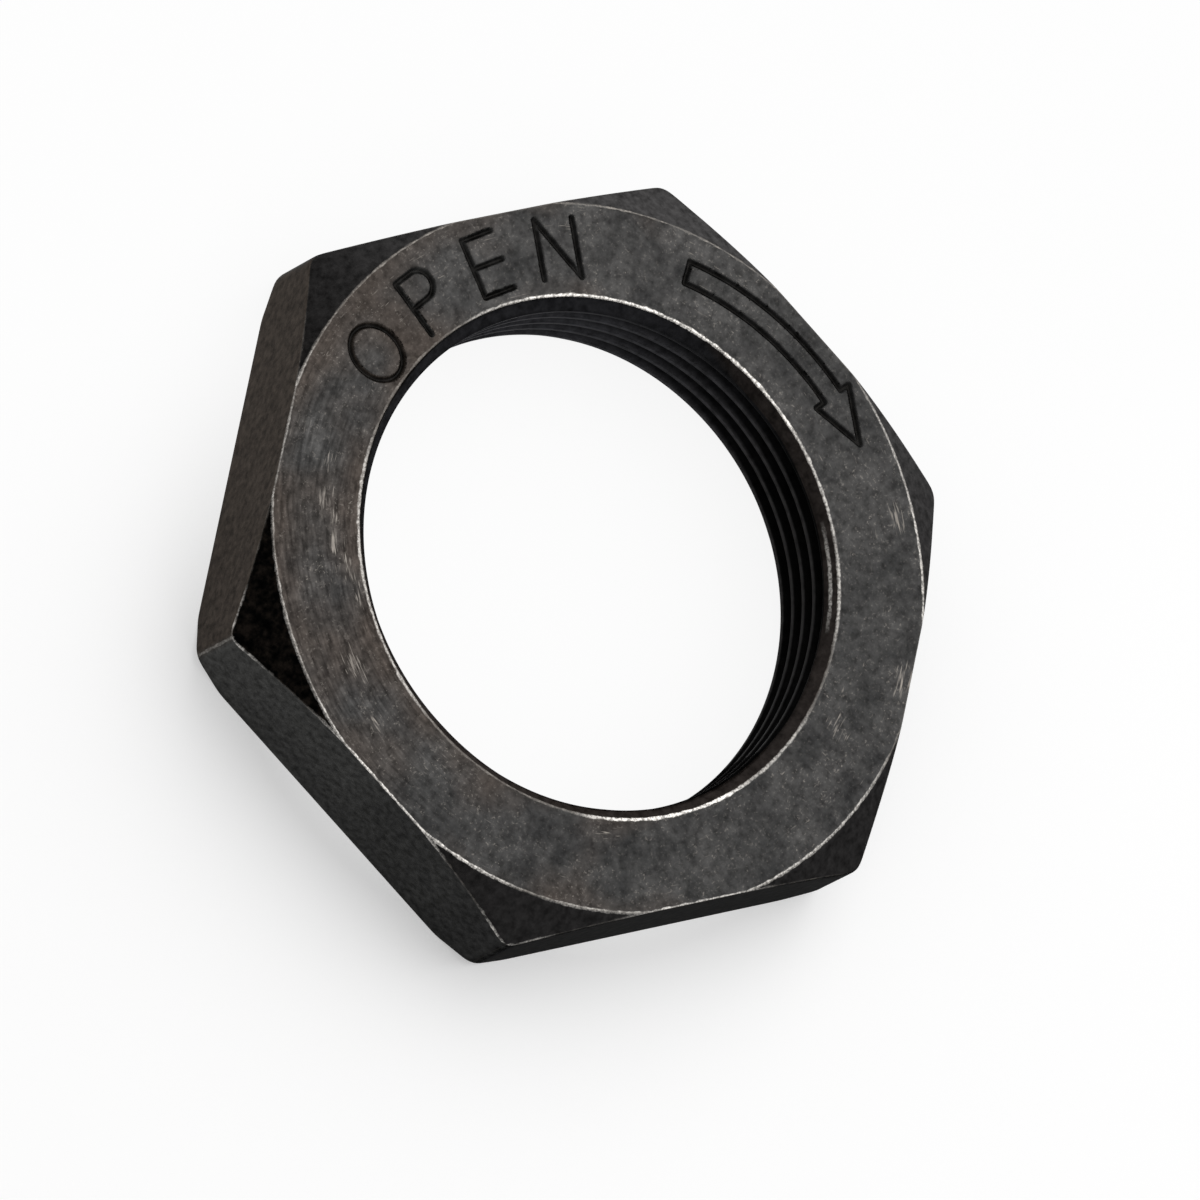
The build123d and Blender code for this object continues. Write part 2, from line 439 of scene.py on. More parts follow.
def mixCoat(tree, at, noise, on, towards):
    # The coat's colour, which differs by surface and round the nut, with painted light and shade
    # on the chamfers, flats and thread
    darkFace = addNode(tree, "ShaderNodeMath", [towards["darkFace"], weights["darkFace"], noise.mottle],
                       operation="MULTIPLY_ADD")
    nearRing = addNode(tree, "ShaderNodeMapRange", [at.pastFace, *ramps["nearRing"]])
    nearMouth = addNode(tree, "ShaderNodeMapRange", [at.pastMouth, *ramps["nearMouth"]])
    nearEdge = addNode(tree, "ShaderNodeMath", [nearRing, nearMouth], operation="MAXIMUM")
    edgeClouds = addNode(tree, "ShaderNodeMath", [noise.clouds, weights["faceClouds"], nearEdge],
                         operation="MULTIPLY_ADD")
    faceClouds = addNode(tree, "ShaderNodeMath", [towards["brownFace"], weights["brownFace"], edgeClouds],
                         operation="MULTIPLY_ADD")
    # Clouds in the coat, plus painted light towards one side of the flats
    flankCloudsAndPaintedLight = addNode(tree, "ShaderNodeMath",
                          [noise.clouds, weights["flankCloudsAndPaintedLight"], towards["paintedLightFlats"]],
                          operation="MULTIPLY_ADD")
    share = {}
    for name, source in (
            ("faceLight", darkFace), ("faceBrown", faceClouds), ("flankPaintedLight", flankCloudsAndPaintedLight),
            ("oneFlat", towards["brownPaintedLightFlat"]), ("chamferPaintedLight", towards["paintedLightCorner"]),
            ("chamferPaintedShade", towards["paintedShadeCorner"]), ("stain", noise.speckle),
            ("threadPaintedLight", towards["paintedLightOnThread"]), ("pastCone", at.belowFront),
            ("grainTone", noise.grain), ("speckleTone", noise.speckle),
            ("streakTone", towards["streakedFace"])):
        share[name] = addNode(tree, "ShaderNodeMapRange", [source, *ramps[name]])
    # The painted highlight on the thread's crests reaches further down on the side painted light
    crestReach = addNode(tree, "ShaderNodeMapRange", [share["threadPaintedLight"], 0.0, 1.0, *oxide["crestReach"]])
    downCrest = addNode(tree, "ShaderNodeMath", [at.pastCrest, crestReach], operation="DIVIDE")
    nearCrest = addNode(tree, "ShaderNodeMapRange", [downCrest, 1.0, 0.0])
    crestHighlight = addNode(tree, "ShaderNodeMath", [nearCrest, share["pastCone"]], operation="MULTIPLY")

    # Each tone is mixed from two that are colours of the coat, some of them painted light or shade, or were
    # mixed before it
    tones = {name: colour(code) for name, code in oxide["colours"].items()}
    for name, part, first, second in (
            ("plainFace", share["faceLight"], "faceDark", "faceLight"),
            ("wholeFace", share["faceBrown"], "plainFace", "faceBrown"),
            ("flats", share["flankPaintedLight"], "flank", "flankPaintedLight"),
            ("allFlats", share["oneFlat"], "flats", "flankBrownPaintedLight"),
            ("chamfers", share["chamferPaintedLight"], "chamfer", "chamferPaintedLight"),
            ("stainedPaintedShadeCorner", share["stain"], "chamferPaintedShade", "chamferStain"),
            ("allChamfers", share["chamferPaintedShade"], "chamfers", "stainedPaintedShadeCorner"),
            ("roots", share["threadPaintedLight"], "root", "rootPaintedLight"),
            ("crests", share["threadPaintedLight"], "crest", "crestPaintedLight"),
            ("thread", crestHighlight, "roots", "crests"),
            ("wholeCone", share["threadPaintedLight"], "cone", "coneDark"),
            ("bore", on.cone, "thread", "wholeCone"),
            ("outside", on.front, "allFlats", "allChamfers"),
            ("frontSide", on.face, "outside", "wholeFace"),
            ("bothSides", on.rear, "frontSide", "plainFace"),
            ("withBore", on.bore, "bothSides", "bore"),
            ("coat", on.groove, "withBore", "groove")):
        tones[name] = addNode(tree, "ShaderNodeMix", [part, tones[first], tones[second]], data_type="RGBA")

    # Grain, speckle and streaks darken and lighten it a little, the streaks mostly on one side
    streakShare = addNode(tree, "ShaderNodeMath", [share["streakTone"], on.face], operation="MULTIPLY")
    evenStreaks = addNode(tree, "ShaderNodeMath", [noise.streaks, 0.5], operation="SUBTRACT")
    streaks = addNode(tree, "ShaderNodeMath", [evenStreaks, streakShare, 1.0], operation="MULTIPLY_ADD")
    light = combine(tree, "MULTIPLY", [share["grainTone"], share["speckleTone"], streaks])
    return addNode(tree, "ShaderNodeVectorMath", [tones["coat"], light], operation="SCALE")


def rubFace(tree, at, noise, on):
    # How much pale steel shows on the face: scratches round it at the rubbed spots, and single grains
    spots = []
    for turn, radius, alongRing, acrossRing, strength in oxide["rubbedSpots"]:
        middle = (radius * cos(radians(turn)), radius * sin(radians(turn)), nut["thickness"])
        spot = addNode(tree, "ShaderNodeMapping",
                       [at.place, middle, (0, 0, radians(turn)), (acrossRing, alongRing, 1.0)],
                       vector_type="TEXTURE")
        reach = addNode(tree, "ShaderNodeVectorMath", [spot], operation="LENGTH")
        spots.append(addNode(tree, "ShaderNodeMapRange", [reach, *oxide["spotFade"], 0.0, strength]))
    rubbed = combine(tree, "MAXIMUM", spots)
    scratchLevel = addNode(tree, "ShaderNodeMath", [rubbed, weights["rubbed"], noise.scratches],
                           operation="MULTIPLY_ADD")
    mottledLevel = addNode(tree, "ShaderNodeMath", [noise.mottle, weights["scratchMottle"], scratchLevel],
                           operation="MULTIPLY_ADD")
    scratches = addNode(tree, "ShaderNodeMapRange", [mottledLevel, *ramps["scratch"]])
    salt = addNode(tree, "ShaderNodeMapRange", [noise.grain, *ramps["salt"]])
    saltPart = addNode(tree, "ShaderNodeMapRange", [noise.mottle, *ramps["saltPart"]])
    grains = addNode(tree, "ShaderNodeMath", [salt, saltPart], operation="MULTIPLY")
    pale = addNode(tree, "ShaderNodeMath", [scratches, grains], operation="MAXIMUM")
    return addNode(tree, "ShaderNodeMath", [pale, on.face], operation="MULTIPLY")


def makeBlackOxideSteel():
    material, tree = newMaterial("black-oxide steel, turned and milled")
    at = placeOnNut(tree)
    noise = makeNoises(tree, at)
    on = findSurface(tree, at)
    towards = {name: facing(tree, at, turn) for name, turn in oxide["turns"].items()}
    pale = rubFace(tree, at, noise, on)
    dull, bright = wearEdges(tree, at, noise)
    finish = mixCoat(tree, at, noise, on, towards)
    for share, steel in ((pale, "scratch"), (dull, "dullSteel"), (bright, "wornSteelHighlight")):
        finish = addNode(tree, "ShaderNodeMix", [share, finish, colour(oxide["colours"][steel])],
                         data_type="RGBA")

    # Bare steel is smoother than the coat
    bare = addNode(tree, "ShaderNodeMath", [dull, bright], operation="MAXIMUM")
    coatRoughness = addNode(tree, "ShaderNodeMapRange", [noise.speckle, *ramps["roughness"]])
    roughness = addNode(tree, "ShaderNodeMix", [bare, coatRoughness, oxide["bareRoughness"]],
                        data_type="FLOAT")

    # Relief: crystals of the coat, and the shallow dents of handling
    relief = addNode(tree, "ShaderNodeMath", [noise.speckle, oxide["dents"], noise.grain],
                     operation="MULTIPLY_ADD")
    bump = addNode(tree, "ShaderNodeBump", {
        "Height": relief, "Strength": oxide["bumpStrength"], "Distance": oxide["bumpDepth"] * mm})

    # Painted shade: one flat is tinted darker at a low angle
    onPaintedShadeFlat = addNode(tree, "ShaderNodeMapRange", [towards["paintedShadeFlat"], *ramps["oneFlat"]])
    offFront = addNode(tree, "ShaderNodeMath", [1.0, on.front], operation="SUBTRACT")
    paintedShadeFlank = addNode(tree, "ShaderNodeMath", [onPaintedShadeFlat, offFront], operation="MULTIPLY")
    edgeTint = addNode(tree, "ShaderNodeMapRange", [paintedShadeFlank, 0.0, 1.0, *oxide["edgeTint"]])
    shader = addNode(tree, "ShaderNodeBsdfPrincipled", {
        "Base Color": finish, "Metallic": 1.0, "Roughness": roughness, "Specular Tint": edgeTint,
        "Normal": bump})
    addNode(tree, "ShaderNodeOutputMaterial", {"Surface": shader})
    print("steel finished:", len(tree.nodes), "nodes")
    return material


def newTree(name, sizes):
    # Geometry Nodes tree with an input for each size; returns it with its inputs
    tree = bpy.data.node_groups.new(name, "GeometryNodeTree")
    tree.interface.new_socket("Geometry", in_out="INPUT", socket_type="NodeSocketGeometry")
    numberKinds = {int: "Int", float: "Float"}
    for label, value in sizes.items():
        kind = numberKinds.get(type(value), type(value).__name__)
        tree.interface.new_socket(label, in_out="INPUT", socket_type="NodeSocket" + kind)
    tree.interface.new_socket("Geometry", in_out="OUTPUT", socket_type="NodeSocketGeometry")
    return tree, tree.nodes.new("NodeGroupInput").outputs


def endTree(tree, given, geometry):
    # Real geometry in its material, because the export drops instances
    real = addNode(tree, "GeometryNodeRealizeInstances", [geometry])
    dressed = addNode(tree, "GeometryNodeSetMaterial", {"Geometry": real, "Material": given["material"]})
    addNode(tree, "NodeGroupOutput", [dressed])
    return tree


def runTree(piece, makeTree, sizes):
    # Builds a tree, runs it on the piece with these sizes and keeps the result as its plain mesh
    tree = makeTree(sizes)
    modifier = piece.modifiers.new(tree.name, "NODES")
    modifier.node_group = tree
    for item in tree.interface.items_tree:
        if item.name in sizes:
            modifier[item.identifier] = sizes[item.name]
    bpy.context.view_layer.update()
    evaluated = piece.evaluated_get(bpy.context.evaluated_depsgraph_get())
    mesh = bpy.data.meshes.new_from_object(evaluated)
    piece.modifiers.clear()
    old = piece.data
    piece.data = mesh
    bpy.data.meshes.remove(old)
    mesh.name = piece.name
    print(tree.name, "run:", len(mesh.polygons), "cells")


def makeSheet(tree, given, rows):
    # A flat sheet of columns and rows, with each point's share of the rows and its angle round the nut.
    # The columns are closer together at the corners.
    ringPoints = addNode(tree, "ShaderNodeMath", [given["columns"], 1.0], operation="ADD")
    sheet = addNode(tree, "GeometryNodeMeshGrid", [1.0, 1.0, ringPoints, rows + 1])
    xyz = addNode(tree, "ShaderNodeSeparateXYZ", [addNode(tree, "GeometryNodeInputPosition")])
    turnShare, rowShare = [
        addNode(tree, "ShaderNodeMath", [xyz.outputs[axis], 0.5], operation="ADD") for axis in "XY"]
    evenAngle = addNode(tree, "ShaderNodeMath", [turnShare, 2 * pi], operation="MULTIPLY")
    sideAngle = addNode(tree, "ShaderNodeMath", [evenAngle, float(nut["sides"])], operation="MULTIPLY")
    wave = addNode(tree, "ShaderNodeMath", [sideAngle], operation="SINE")
    waveSize = addNode(tree, "ShaderNodeMath", [given["crowding"], float(nut["sides"])], operation="DIVIDE")
    angle = addNode(tree, "ShaderNodeMath", [wave, waveSize, evenAngle], operation="MULTIPLY_ADD")
    return sheet, rowShare, angle


def bendSheet(tree, sheet, radius, angle, height):
    point = addNode(tree, "ShaderNodeCombineXYZ", [*turnedSides(tree, radius, angle), height])
    return addNode(tree, "GeometryNodeSetPosition", {"Geometry": sheet, "Position": point})


def makeBlankTree(sizes):
    # A sheet bent round the bore: rear face, rear chamfer, flank, front chamfer and front face
    tree, given = newTree("hexBlank", sizes)
    rows = sum(nut["rows"].values())
    sheet, rowShare, angle = makeSheet(tree, given, rows)

    # Reach of the rounded hexagon at that angle
    flat = addNode(tree, "ShaderNodeMath", [given["acrossFlats"], 2.0], operation="DIVIDE")
    fromFlat = addNode(tree, "ShaderNodeMath", [angle, halfSide], operation="PINGPONG")
    fromCorner = addNode(tree, "ShaderNodeMath", [halfSide, fromFlat], operation="SUBTRACT")
    flatCosine = addNode(tree, "ShaderNodeMath", [fromFlat], operation="COSINE")
    flatReach = addNode(tree, "ShaderNodeMath", [flat, flatCosine], operation="DIVIDE")
    innerFlat = addNode(tree, "ShaderNodeMath", [flat, given["cornerRadius"]], operation="SUBTRACT")
    arcCentre = addNode(tree, "ShaderNodeMath", [innerFlat, cos(halfSide)], operation="DIVIDE")
    forward, sideways = turnedSides(tree, arcCentre, fromCorner)
    sidewaysSquare = addNode(tree, "ShaderNodeMath", [sideways, 2.0], operation="POWER")
    radiusSquare = addNode(tree, "ShaderNodeMath", [given["cornerRadius"], 2.0], operation="POWER")
    chordSquare = past(tree, radiusSquare, sidewaysSquare)
    halfChord = addNode(tree, "ShaderNodeMath", [chordSquare], operation="SQRT")
    arcReach = addNode(tree, "ShaderNodeMath", [forward, halfChord], operation="ADD")
    tangentRise = addNode(tree, "ShaderNodeMath", [innerFlat, tan(halfSide)], operation="MULTIPLY")
    tangentAngle = addNode(tree, "ShaderNodeMath", [tangentRise, flat], operation="ARCTAN2")
    atCorner = addNode(tree, "FunctionNodeCompare", [fromFlat, tangentAngle], operation="GREATER_THAN")
    reach = addNode(tree, "GeometryNodeSwitch", [atCorner, flatReach, arcReach], input_type="FLOAT")

    # The faces end at their circles, or just inside the flats
    rimReach = addNode(tree, "ShaderNodeMath", [reach, given["rimStrip"]], operation="SUBTRACT")
    frontEnd, rearEnd = [
        addNode(tree, "ShaderNodeMath", [given[circle], rimReach], operation="MINIMUM")
        for circle in ("faceRadius", "rearFaceRadius")]

    # Each surface goes from one radius to the next, its rows closer together at the edges
    radius = given["mouthRadius"]
    ends = {
        "rearFace": (radius, rearEnd),
        "rearChamfer": (rearEnd, reach),
        "frontChamfer": (reach, frontEnd),
        "frontFace": (frontEnd, radius),
    }
    start = 0
    for surface, count in nut["rows"].items():
        share = addNode(tree, "ShaderNodeMapRange", [rowShare, start / rows, (start + count) / rows],
                        interpolation_type="SMOOTHSTEP")
        start += count
        if surface == "flank":
            flankShare = share
        else:
            inner, outer = ends[surface]
            width = addNode(tree, "ShaderNodeMath", [outer, inner], operation="SUBTRACT")
            radius = addNode(tree, "ShaderNodeMath", [share, width, radius], operation="MULTIPLY_ADD")
    front, rear = turnedHeights(tree, radius, given)
    height = addNode(tree, "ShaderNodeMix", [flankShare, rear, front], data_type="FLOAT")
    return endTree(tree, given, bendSheet(tree, sheet, radius, angle, height))


def makeThreadTree(sizes):
    # The bore: a sheet whose rows follow a left-hand helix, opened to a cone at both mouths, then joined
    # to the blank, closed and eased along its edges
    tree, given = newTree("leftHandThread", sizes)
    turns = nut["threadTurns"]
    sheet, rowShare, angle = makeSheet(tree, given, nut["threadRows"] * turns)

    # Height: it starts above the nut, and falls one pitch for each turn's rows and one for each time
    # round, counterclockwise, which is what makes the thread left-hand
    turnsDown = addNode(tree, "ShaderNodeMath", [rowShare, float(turns)], operation="MULTIPLY")
    turned = addNode(tree, "ShaderNodeMath", [angle, 2 * pi], operation="DIVIDE")
    fallTurns = addNode(tree, "ShaderNodeMath", [turnsDown, turned], operation="ADD")
    fall = addNode(tree, "ShaderNodeMath", [fallTurns, given["pitch"]], operation="MULTIPLY")
    firstTurns = addNode(tree, "ShaderNodeMath", [turns - 2 + nut["crestFlat"] / 2, given["threadStart"]],
                         operation="ADD")
    first = addNode(tree, "ShaderNodeMath", [firstTurns, given["pitch"]], operation="MULTIPLY")
    height = addNode(tree, "ShaderNodeMath", [past(tree, first, fall), given["thickness"]],
                     operation="MINIMUM")

    # Profile of one turn: a crest flat, a 60-degree flank, a root flat and a flank
    station = addNode(tree, "ShaderNodeMath", [turnsDown], operation="FRACT")
    fromRoot = addNode(tree, "ShaderNodeMath", [station, (1 + nut["crestFlat"]) / 2], operation="SUBTRACT")
    rootGap = addNode(tree, "ShaderNodeMath", [fromRoot], operation="ABSOLUTE")
    depthShare = addNode(tree, "ShaderNodeMapRange",
                         [rootGap, (1 - nut["crestFlat"]) / 2, nut["rootFlat"] / 2])
    threadRadius = addNode(tree, "ShaderNodeMath", [depthShare, given["threadDepth"], given["crestRadius"]],
                           operation="MULTIPLY_ADD")

    # Cones that open the bore at both ends
    widening = addNode(tree, "ShaderNodeMath", [given["mouthRadius"], given["crestRadius"]],
                       operation="SUBTRACT")
    fromTop = addNode(tree, "ShaderNodeMath", [given["thickness"], height], operation="SUBTRACT")
    radii = [threadRadius]
    for depth, mouthDepth in ((fromTop, given["frontMouthDepth"]), (height, given["rearMouthDepth"])):
        share = addNode(tree, "ShaderNodeMath", [depth, mouthDepth], operation="DIVIDE")
        narrowing = addNode(tree, "ShaderNodeMath", [share, widening], operation="MULTIPLY")
        radii.append(addNode(tree, "ShaderNodeMath", [given["mouthRadius"], narrowing],
                             operation="SUBTRACT"))
    bore = bendSheet(tree, sheet, combine(tree, "MAXIMUM", radii), angle, height)

    # One closed body, with its sharp edges eased, and the thread's hardly at all
    both = addNode(tree, "GeometryNodeJoinGeometry", [bore])
    tree.links.new(given["Geometry"], both.inputs[0])
    closed = addNode(tree, "GeometryNodeMergeByDistance", {"Geometry": both, "Distance": nut["weld"] * mm})
    position = addNode(tree, "GeometryNodeInputPosition")
    level = addNode(tree, "ShaderNodeVectorMath", [position, (1, 1, 0)], operation="MULTIPLY")
    radius = addNode(tree, "ShaderNodeVectorMath", [level], operation="LENGTH")
    pastMouth = addNode(tree, "ShaderNodeMath", [radius, given["mouthRadius"]], operation="SUBTRACT")
    stepStart, stepEnd = nut["easingStep"]
    easing = addNode(tree, "ShaderNodeMapRange", [pastMouth, stepStart * mm, stepEnd * mm, *nut["easing"]])
    eased = addNode(tree, "GeometryNodeBlurAttribute", [position, given["easingTimes"], easing],
                    data_type="FLOAT_VECTOR")
    soft = addNode(tree, "GeometryNodeSetPosition", {"Geometry": closed, "Position": eased})
    smooth = addNode(tree, "GeometryNodeSetShadeSmooth", {"Geometry": soft, "Shade Smooth": True})
    return endTree(tree, given, smooth)


# Engraved marks on the front face: a word and a hollow arrow
marks = {
    "centre": (0.7565, -0.5910), # the marks' own centre, a little off the bore's axis
    "radius": 20.725,
    "grooveWidth": 0.5,
    "grooveDepth": 0.25,
    "floorShare": 0.2,          # part of the groove's width that is its floor
    "floorWaves": 0.9,          # in a millimetre: the floor is uneven,
    "depthRamp": (0.3, 0.7, -0.8, -1.1),  # and goes down by this share of the depth
    "word": "OPEN",
    "wordMiddle": 76.0,
    "letterStep": 15.0,
    "letterHeight": 4.01,
    "letterWidths": {"O": 3.4, "P": 2.4, "E": 2.3, "N": 2.8},
    "ovalSteps": 48,
    "bowlSteps": 16,
    "arrowTail": 27.0,
    "arrowNeck": -9.0,
    "arrowTip": -19.0,
    "arrowSteps": 18,
    "shankWidth": 1.55,
    "headWidth": 3.05,
    "cellReach": 0.4,           # the face's cells are split finely this far round a groove
    "cellCuts": 3,
    "cellSearch": 0.15,
    "faceGap": 0.002,           # points this near the front face's height are on it
    "edgeReach": 0.045,         # points this near a groove's edge move onto it
}


def makeEngravingTree(sizes):
    # Presses a groove into the front face along the mark lines: points near a groove's edge move onto it,
    # and points inside it sink
    tree, given = newTree("engraving", sizes)
    lines = addNode(tree, "GeometryNodeObjectInfo", {"Object": given["lines"]})
    wires = addNode(tree, "GeometryNodeCurveToMesh", {"Curve": lines.outputs["Geometry"]})
    place = addNode(tree, "GeometryNodeInputPosition")
    near = addNode(tree, "GeometryNodeProximity", {0: wires, "Sample Position": place},
                   target_element="EDGES")
    distance = near.outputs["Distance"]
    half = addNode(tree, "ShaderNodeMath", [given["grooveWidth"], 2.0], operation="DIVIDE")
    xyz = addNode(tree, "ShaderNodeSeparateXYZ", [place])
    belowFace = addNode(tree, "ShaderNodeMath", [given["thickness"], xyz.outputs["Z"]], operation="SUBTRACT")
    onFace = addNode(tree, "ShaderNodeMath", [belowFace, given["faceGap"]], operation="LESS_THAN")

    # Onto the groove's edge
    fromEdge = addNode(tree, "ShaderNodeMath", [distance, half], operation="SUBTRACT")
    edgeGap = addNode(tree, "ShaderNodeMath", [fromEdge], operation="ABSOLUTE")
    nearEdge = addNode(tree, "ShaderNodeMath", [edgeGap, given["edgeReach"]], operation="LESS_THAN")
    toMove = addNode(tree, "ShaderNodeMath", [nearEdge, onFace], operation="MULTIPLY")
    away = addNode(tree, "ShaderNodeVectorMath", [place, near.outputs["Position"]], operation="SUBTRACT")
    outward = addNode(tree, "ShaderNodeVectorMath", [away], operation="NORMALIZE")
    toEdge = addNode(tree, "ShaderNodeVectorMath", [outward, half], operation="SCALE")
    edgePoint = addNode(tree, "ShaderNodeVectorMath", [near.outputs["Position"], toEdge], operation="ADD")
    snapped = addNode(tree, "GeometryNodeSetPosition", [given["Geometry"], toMove, edgePoint])

    # Down to the floor
    floorHalf = addNode(tree, "ShaderNodeMath", [half, given["floorShare"]], operation="MULTIPLY")
    sunkShare = addNode(tree, "ShaderNodeMapRange", [distance, half, floorHalf])
    waves = addNode(tree, "ShaderNodeTexNoise", {
        "Vector": place, "Scale": marks["floorWaves"] / mm, "Detail": 1.0})
    unevenShare = addNode(tree, "ShaderNodeMapRange", [waves, *marks["depthRamp"]])
    drop = combine(tree, "MULTIPLY", [unevenShare, given["grooveDepth"], sunkShare])
    dropVector = addNode(tree, "ShaderNodeCombineXYZ", [0.0, 0.0, drop])
    pressed = addNode(tree, "GeometryNodeSetPosition",
                      {"Geometry": snapped, "Selection": onFace, "Offset": dropVector})
    return endTree(tree, given, pressed)


def letterStrokes(letter):
    # Middle lines of a letter's grooves: x along the reading direction, y away from the bore
    w, h = marks["letterWidths"][letter] / 2, marks["letterHeight"] / 2
    if letter == "O":
        turns = [step * 2 * pi / marks["ovalSteps"] for step in range(marks["ovalSteps"] + 1)]
        return [[(w * cos(a), h * sin(a)) for a in turns]]
    if letter == "P":
        bowl = h / 2
        turns = [step * pi / marks["bowlSteps"] for step in range(marks["bowlSteps"] + 1)]
        bend = [(w - bowl + bowl * sin(a), bowl + bowl * cos(a)) for a in turns]
        return [[(-w, -h), (-w, h), *bend, (-w, 0)]]
    if letter == "E":
        return [[(w, h), (-w, h), (-w, -h), (w, -h)], [(-w, 0), (w, 0)]]
    return [[(-w, -h), (-w, h), (w, -h), (w, h)]]


def markStrokes():
    # All grooves' middle lines on the front face, in millimetres
    centreX, centreY = marks["centre"]
    strokes = []
    for place, letter in enumerate(marks["word"]):
        angle = radians(marks["wordMiddle"] + ((len(marks["word"]) - 1) / 2 - place) * marks["letterStep"])
        outX, outY = cos(angle), sin(angle)
        for stroke in letterStrokes(letter):
            strokes.append([(centreX + outX * (marks["radius"] + y) + outY * x,
                             centreY + outY * (marks["radius"] + y) - outX * x) for x, y in stroke])

    def onRing(lift, degreesRound):
        a = radians(degreesRound)
        reach = marks["radius"] + lift
        return (centreX + reach * cos(a), centreY + reach * sin(a))

    shank, head = marks["shankWidth"] / 2, marks["headWidth"] / 2
    tail, neck, steps = marks["arrowTail"], marks["arrowNeck"], marks["arrowSteps"]
    run = [tail + (neck - tail) * i / steps for i in range(steps + 1)]
    tip = [onRing(head, neck), onRing(0, marks["arrowTip"]), onRing(-head, neck)]
    strokes.append([onRing(shank, a) for a in run] + tip + [onRing(-shank, a) for a in reversed(run)]
                   + [onRing(shank, tail)])
    return strokes


def makeMarkLines(strokes):
    data = bpy.data.curves.new("markLines", "CURVE")
    data.dimensions = "3D"
    for stroke in strokes:
        spline = data.splines.new("POLY")
        spline.points.add(len(stroke) - 1)
        for point, (x, y) in zip(spline.points, stroke):
            point.co = (x * mm, y * mm, nut["thickness"] * mm, 1)
    return addObject("markLines", data)


def refineNearMarks(mesh, strokes):
    # Splits the front face's cells finely where the grooves go, so that their edges come out clean
    samples = []
    for stroke in strokes:
        for (x0, y0), (x1, y1) in zip(stroke, stroke[1:]):
            count = max(1, int(hypot(x1 - x0, y1 - y0) / marks["cellSearch"]))
            samples += [(x0 + (x1 - x0) * i / count, y0 + (y1 - y0) * i / count) for i in range(count + 1)]
    near = KDTree(len(samples))
    for i, (x, y) in enumerate(samples):
        near.insert((x * mm, y * mm, nut["thickness"] * mm), i)
    near.balance()
    bm = bmesh.new()
    bm.from_mesh(mesh)
    top = (nut["thickness"] - marks["faceGap"]) * mm
    reach = (marks["grooveWidth"] / 2 + marks["cellReach"]) * mm
    faceCells = [f for f in bm.faces if min(v.co.z for v in f.verts) > top]
    cells = [f for f in faceCells if near.find(f.calc_center_median())[2] < reach]
    edges = list({e for f in cells for e in f.edges})
    bmesh.ops.subdivide_edges(bm, edges=edges, cuts=marks["cellCuts"], use_grid_fill=True)
    bm.to_mesh(mesh)
    bm.free()


def lengths(source, *names):
    # These of a dictionary's millimetre lengths in metres, by the same names
    return {name: source[name] * mm for name in names}


def makeNut():
    steel = makeBlackOxideSteel()
    piece = addObject("lockNut", bpy.data.meshes.new("lockNut"))
    common = lengths(nut, "thickness", "mouthRadius") | {
        "columns": nut["columns"], "crowding": nut["crowding"], "material": steel}
    blank = lengths(nut, "acrossFlats", "cornerRadius", "faceRadius", "rearFaceRadius", "rimStrip")
    thread = lengths(nut, "crestRadius", "threadDepth", "pitch", "frontMouthDepth", "rearMouthDepth")
    runTree(piece, makeBlankTree, common | blank | {
        "frontSlope": nut["frontSlope"], "rearSlope": nut["rearSlope"]})
    runTree(piece, makeThreadTree, common | thread | {
        "threadStart": nut["threadStart"], "easingTimes": nut["easingTimes"]})
    strokes = markStrokes()
    lines = makeMarkLines(strokes)
    refineNearMarks(piece.data, strokes)
    grooves = lengths(marks, "grooveWidth", "grooveDepth", "faceGap", "edgeReach")
    runTree(piece, makeEngravingTree, lengths(nut, "thickness") | grooves | {
        "lines": lines, "floorShare": marks["floorShare"], "material": steel})
    bpy.data.objects.remove(lines)
    return piece


def seenDirectly(tree):
    # 1 for what the camera sees itself, in metal or through glass
    path = addNode(tree, "ShaderNodeLightPath")
    rays = ("Is Camera Ray", "Is Glossy Ray", "Is Transmission Ray")
    return combine(tree, "MAXIMUM", [path.outputs[ray] for ray in rays])


# Floor: matt white sweep, as in a product picture. To the camera and in reflections it is mostly its
# own white, so that only the nut's soft shadow is left on it.
floorLook = {
    "size": 8.0,                # metres
    "paper": "#f6f6f6",
    "shadowSide": (0.35, 0.74), # on the shadow side: white that is seen in any light, and the share
    "lightSide": (0.9, 0.1),    # that takes light and shadow. Then the same on the light side
    "shadowAngle": 235,         # which way the shadow side lies
    "sideRamp": (-20, 12, 1.0, 0.0),  # millimetres from the nut's axis, from light side to shadow side
    "holeRamp": (19, 25, 1.0, 0.0),   # inside the nut's hole is light side too
}


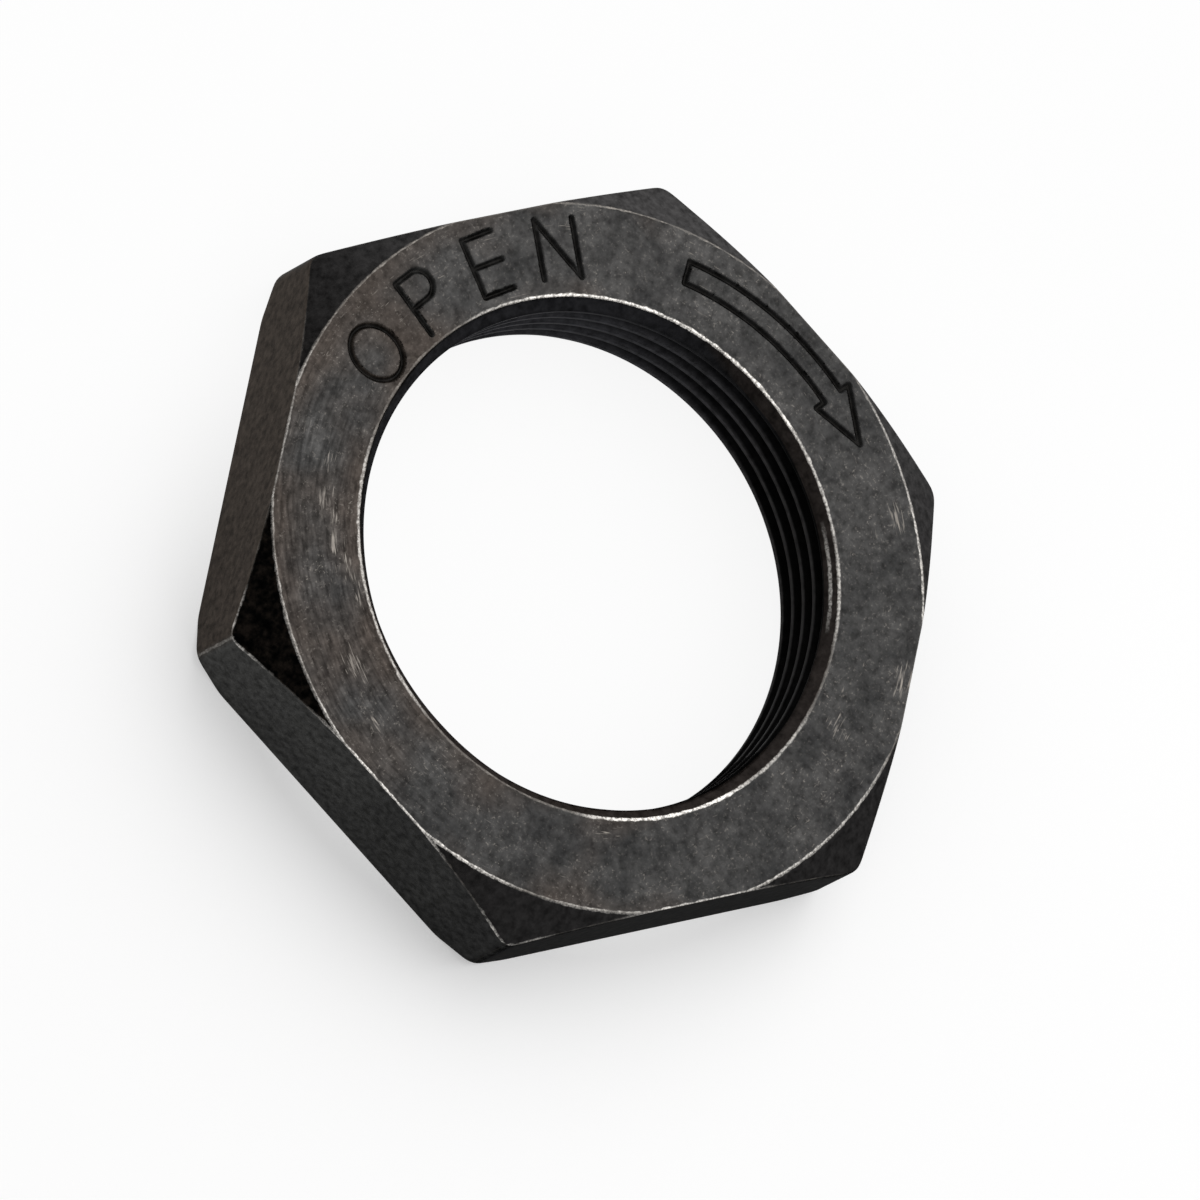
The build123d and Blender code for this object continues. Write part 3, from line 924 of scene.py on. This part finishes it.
def makeFloor():
    half = floorLook["size"] / 2
    mesh = bpy.data.meshes.new("floor")
    corners = [(-half, -half, 0), (half, -half, 0), (half, half, 0), (-half, half, 0)]
    mesh.from_pydata(corners, [], [(0, 1, 2, 3)])
    material, tree = newMaterial("white backdrop paper")
    paper = addNode(tree, "ShaderNodeBsdfDiffuse", {"Color": colour(floorLook["paper"])})
    sides = []
    for own, lit in (floorLook["shadowSide"], floorLook["lightSide"]):
        white = addNode(tree, "ShaderNodeEmission", {"Color": (1, 1, 1, 1), "Strength": own})
        shaded = addNode(tree, "ShaderNodeBsdfDiffuse", {"Color": (lit, lit, lit, 1)})
        sides.append(addNode(tree, "ShaderNodeAddShader", [white, shaded]))
    place = placeInMm(tree)
    shadowTurn = radians(floorLook["shadowAngle"])
    shadowWay = addNode(tree, "ShaderNodeVectorMath", [place, (cos(shadowTurn), sin(shadowTurn), 0)],
                        operation="DOT_PRODUCT")
    offAxis = addNode(tree, "ShaderNodeVectorMath", [place], operation="LENGTH")
    bySide = addNode(tree, "ShaderNodeMapRange", [shadowWay, *floorLook["sideRamp"]],
                     interpolation_type="SMOOTHSTEP")
    byHole = addNode(tree, "ShaderNodeMapRange", [offAxis, *floorLook["holeRamp"]])
    lightShare = addNode(tree, "ShaderNodeMath", [bySide, byHole], operation="MAXIMUM")
    seenPaper = addNode(tree, "ShaderNodeMixShader", [lightShare, *sides])
    mixed = addNode(tree, "ShaderNodeMixShader", [seenDirectly(tree), paper, seenPaper])
    addNode(tree, "ShaderNodeOutputMaterial", {"Surface": mixed})
    mesh.materials.append(material)
    return addObject("floor", mesh)


# Soft studio light: a dim room over a white sweep, one large soft box and a small fill.
# Places and sizes are metres.
surround = {
    "strength": 0.36,           # the room, on everything
    "sweepTop": 8.0,            # up to this elevation the camera and reflections see the white sweep
    "sweepFade": 28.0,          # and from this one they see the dim room
}
lamps = {
    "softBox": {"place": (0.69, -0.06, 0.98), "size": 2.1, "power": 14.5},
    "fillLamp": {"place": (-0.56, -0.97, 1.0), "size": 0.7, "power": 1.2},
}


def makeLight():
    world = bpy.data.worlds.new("white sweep in a dim room")
    bpy.context.scene.world = world
    world.use_nodes = True
    tree = world.node_tree
    tree.nodes.clear()
    coords = addNode(tree, "ShaderNodeTexCoord")
    xyz = addNode(tree, "ShaderNodeSeparateXYZ", [coords.outputs["Generated"]])
    top, fade = sin(radians(surround["sweepTop"])), sin(radians(surround["sweepFade"]))
    sweep = addNode(tree, "ShaderNodeMapRange", [xyz.outputs["Z"], top, fade, 1.0, 0.0],
                    interpolation_type="SMOOTHSTEP")
    seenSweep = addNode(tree, "ShaderNodeMath", [seenDirectly(tree), sweep], operation="MULTIPLY")
    strength = addNode(tree, "ShaderNodeMapRange", [seenSweep, 0.0, 1.0, surround["strength"], 1.0])
    sky = addNode(tree, "ShaderNodeBackground", {"Color": (1, 1, 1, 1), "Strength": strength})
    addNode(tree, "ShaderNodeOutputWorld", {"Surface": sky})
    for name, lamp in lamps.items():
        data = bpy.data.lights.new(name, "AREA")
        data.shape = "DISK"
        data.size = lamp["size"]
        data.energy = lamp["power"]
        light = addObject(name, data)
        light.location = lamp["place"]
        light.rotation_euler = (-light.location).to_track_quat("-Z", "Y").to_euler()
    print("scene lit")


makeCamera()
lockNut = makeNut()
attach(lockNut, "root")
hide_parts("hex_locknut")
floor = makeFloor()
makeLight()
bpy.context.scene.view_settings.view_transform = "Standard"
